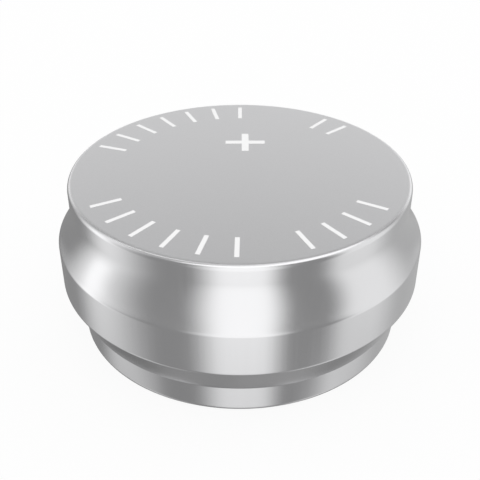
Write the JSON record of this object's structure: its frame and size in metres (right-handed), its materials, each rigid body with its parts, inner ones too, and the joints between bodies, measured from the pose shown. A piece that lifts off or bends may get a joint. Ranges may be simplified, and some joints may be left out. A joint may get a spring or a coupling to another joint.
{
  "type": "lithium coin cell",
  "caption": "Round metal coin cell: a flared steel can drawn in over a steel cap, sealed by a gasket ring, with flat contact faces at both ends.",
  "frame": {"origin": "centre of the negative contact face, on which the cell rests", "axes": "+Z along the cell's axis towards the positive contact face; +X towards the side where the positive tab enters the roll"},
  "size_m": [0.012, 0.012, 0.0054],
  "materials": {
    "can_steel": "satin drawn stainless steel",
    "cap_steel": "satin drawn stainless steel",
    "gasket_polymer": "matte dark moulded polymer",
    "coated_foil": "matte coated foil edges",
    "tape_film": "smooth film",
    "tab_aluminium": "bright rolled strip",
    "tab_nickel": "bright rolled nickel strip",
    "disc_film": "matte white film"
  },
  "bodies": {
    "root": {"positive_can": "can_steel", "negative_cap": "cap_steel", "sealing_gasket": "gasket_polymer", "electrode_roll": "coated_foil", "closing_tape": "tape_film", "positive_tab": "tab_aluminium", "negative_tab": "tab_nickel", "positive_insulator": "disc_film", "negative_insulator": "disc_film"}
  },
  "joints": []
}
